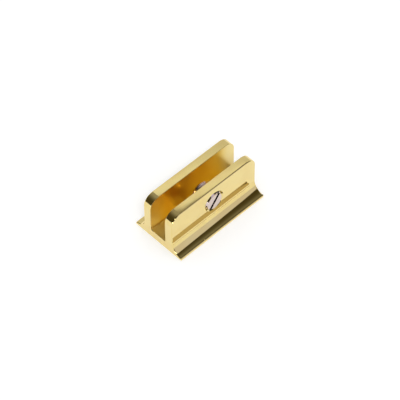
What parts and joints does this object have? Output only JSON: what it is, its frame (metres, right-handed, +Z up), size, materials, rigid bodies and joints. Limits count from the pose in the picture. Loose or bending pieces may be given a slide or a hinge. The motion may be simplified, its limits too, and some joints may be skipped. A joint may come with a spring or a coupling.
{
  "type": "glass shelf support",
  "caption": "Brass channel support on a coved foot. It grips the edge of a glass shelf or panel, which a slotted grub screw through the front wall clamps.",
  "frame": {"origin": "centre of the foot's underside", "axes": "+X along the body, +Y across the glass slot and away from the grub screw's slotted end, +Z up out of the foot towards the slot's mouth"},
  "size_m": [0.038, 0.0216, 0.0175],
  "materials": {
    "polished_brass": "polished",
    "plated_steel": "bright plated"
  },
  "bodies": {
    "support": {"support_body": "polished_brass"},
    "screw": {"grub_screw": "plated_steel"}
  },
  "joints": [
    {"name": "grub_screw_travel", "type": "slide", "parent": "support", "child": "screw", "axis": [0, 1, 0], "range_m": [-0.00375, 0.00125]}
  ]
}
